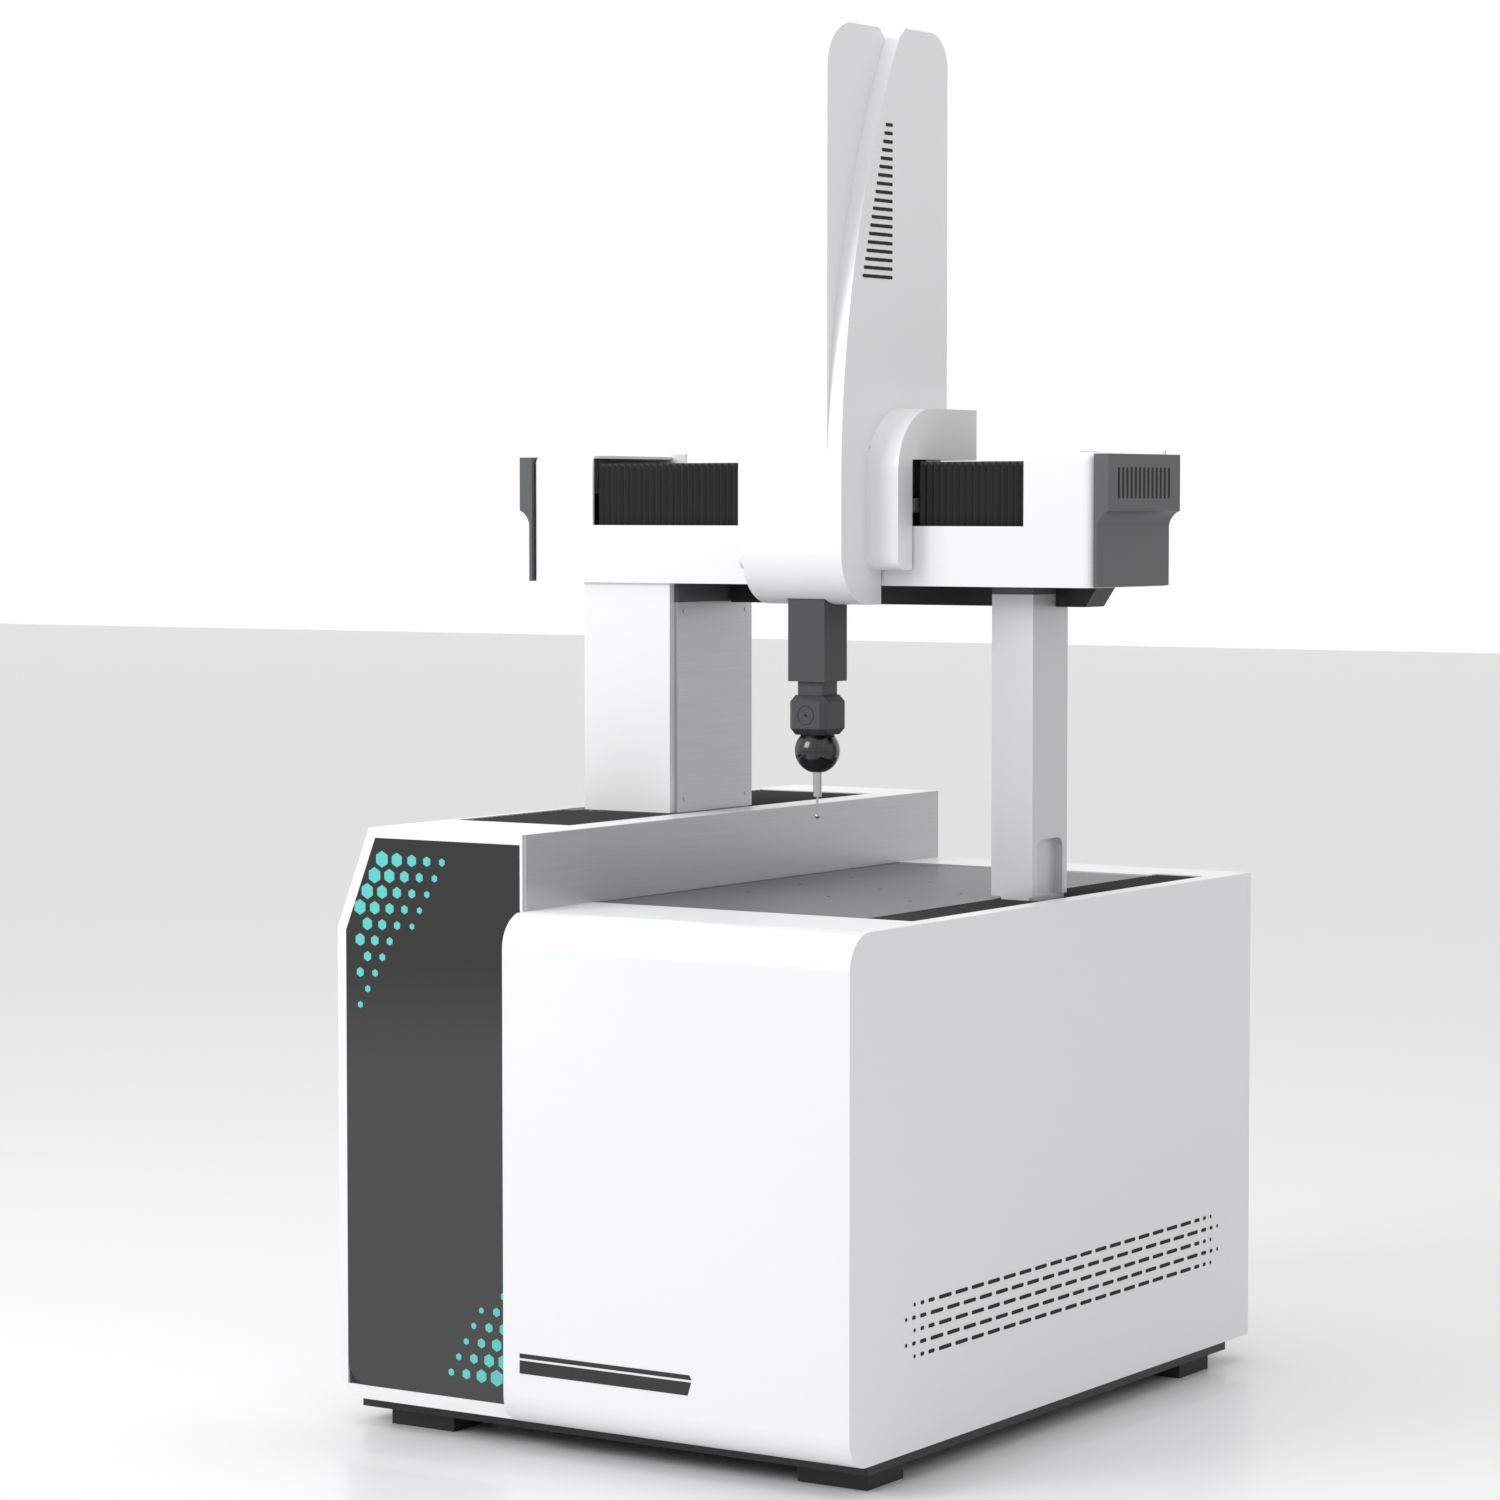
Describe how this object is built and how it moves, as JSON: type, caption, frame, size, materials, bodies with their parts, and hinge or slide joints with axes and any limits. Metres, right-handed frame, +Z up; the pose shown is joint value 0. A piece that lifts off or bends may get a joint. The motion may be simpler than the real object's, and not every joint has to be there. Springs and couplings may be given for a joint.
{
  "type": "coordinate measuring machine",
  "caption": "Moving-bridge coordinate measuring machine: table and guide tower, sliding bridge, carriage with tall column, square ram and a probe head that swivels and tilts.",
  "frame": {"origin": "on the floor under the middle of the whole machine", "axes": "+Z up, the front faces -Y, +X to the operator's right; the bridge moves along Y, the carriage along X and the ram along Z"},
  "size_m": [0.985, 1.148, 1.958],
  "materials": {
    "black_rubber": "matte moulded pads",
    "black_frame": "satin black paint",
    "grey_frame": "sand-cast and painted grey",
    "table_stone": "ground dark stone, drawn with fine straight grain",
    "white_cover": "satin white lacquer",
    "black_glass": "high gloss black panel",
    "brushed_plate": "brushed",
    "ground_steel": "ground",
    "bellows": "folded coated cloth",
    "cast_aluminium": "machined, fine matte",
    "black_beam": "black hard-anodised",
    "dark_cover": "satin dark grey",
    "dark_ram": "dark hard-anodised",
    "dark_head": "dark anodised",
    "black_head": "satin black"
  },
  "bodies": {
    "base": {"levelling_feet": "black_rubber", "base_plate": "black_frame", "support_posts": "grey_frame", "measuring_table": "table_stone", "right_front_cover": "white_cover", "right_side_panel": "white_cover", "base_back_cover": "white_cover", "tower_shell": "white_cover", "tower_glass_panel": "black_glass", "tower_back_panel": "white_cover", "tower_guard_plate": "brushed_plate", "controller_box": "grey_frame", "guide_beams": "table_stone", "bridge_rails": "ground_steel", "bridge_screw": "ground_steel", "bridge_screw_bearings": "grey_frame", "bridge_motor": "black_frame", "table_bellows_front": "bellows", "table_bellows_back": "bellows", "tower_bellows_front": "bellows", "tower_bellows_back": "bellows"},
    "bridge": {"bridge_bearing_blocks": "ground_steel", "bridge_saddles": "cast_aluminium", "bridge_nut": "ground_steel", "left_leg_core": "cast_aluminium", "left_leg_front_cover": "white_cover", "left_leg_side_plates": "brushed_plate", "leg_caps": "dark_cover", "right_leg": "cast_aluminium", "beam_core": "black_beam", "beam_front_cover": "white_cover", "beam_back_cover": "white_cover", "cross_rails": "ground_steel", "cross_screw": "ground_steel", "cross_screw_bearings": "grey_frame", "cross_motor": "black_frame", "cable_tray": "black_beam", "beam_end_caps": "dark_cover", "beam_bellows_left": "bellows", "beam_bellows_right": "bellows"},
    "carriage": {"carriage_saddle": "cast_aluminium", "carriage_bearing_blocks": "ground_steel", "carriage_nut": "ground_steel", "column_backbone": "cast_aluminium", "backbone_head_plate": "cast_aluminium", "lift_motor": "black_frame", "lift_screw": "ground_steel", "ram_guide_rings": "cast_aluminium", "column_shell": "white_cover", "column_nose": "white_cover", "carriage_side_covers": "white_cover"},
    "ram": {"ram": "dark_ram", "ram_nut": "ground_steel", "probe_adapter": "dark_ram", "head_body": "dark_head"},
    "swivel": {"head_swivel": "black_head"},
    "tilt": {"probe_ball": "black_head", "probe_module": "ground_steel", "stylus": "ground_steel"}
  },
  "joints": [
    {"name": "bridge_slide", "type": "slide", "parent": "base", "child": "bridge", "axis": [0, 1, 0], "range_m": [-0.2, 0.27], "deforming": ["table_bellows_front", "table_bellows_back", "tower_bellows_front", "tower_bellows_back"]},
    {"name": "carriage_slide", "type": "slide", "parent": "bridge", "child": "carriage", "axis": [1, 0, 0], "range_m": [-0.18, 0.145], "deforming": ["beam_bellows_left", "beam_bellows_right"]},
    {"name": "ram_slide", "type": "slide", "parent": "carriage", "child": "ram", "axis": [0, 0, 1], "range_m": [-0.105, 0.105]},
    {"name": "head_turn", "type": "hinge", "parent": "ram", "child": "swivel", "pos_m": [0.0526, -0.131, 0.9452], "axis": [0, 0, 1], "range_deg": [-180, 180]},
    {"name": "probe_tilt", "type": "hinge", "parent": "swivel", "child": "tilt", "pos_m": [0.0526, -0.131, 0.9452], "axis": [-1, 0, 0], "range_deg": [0, 105]}
  ]
}
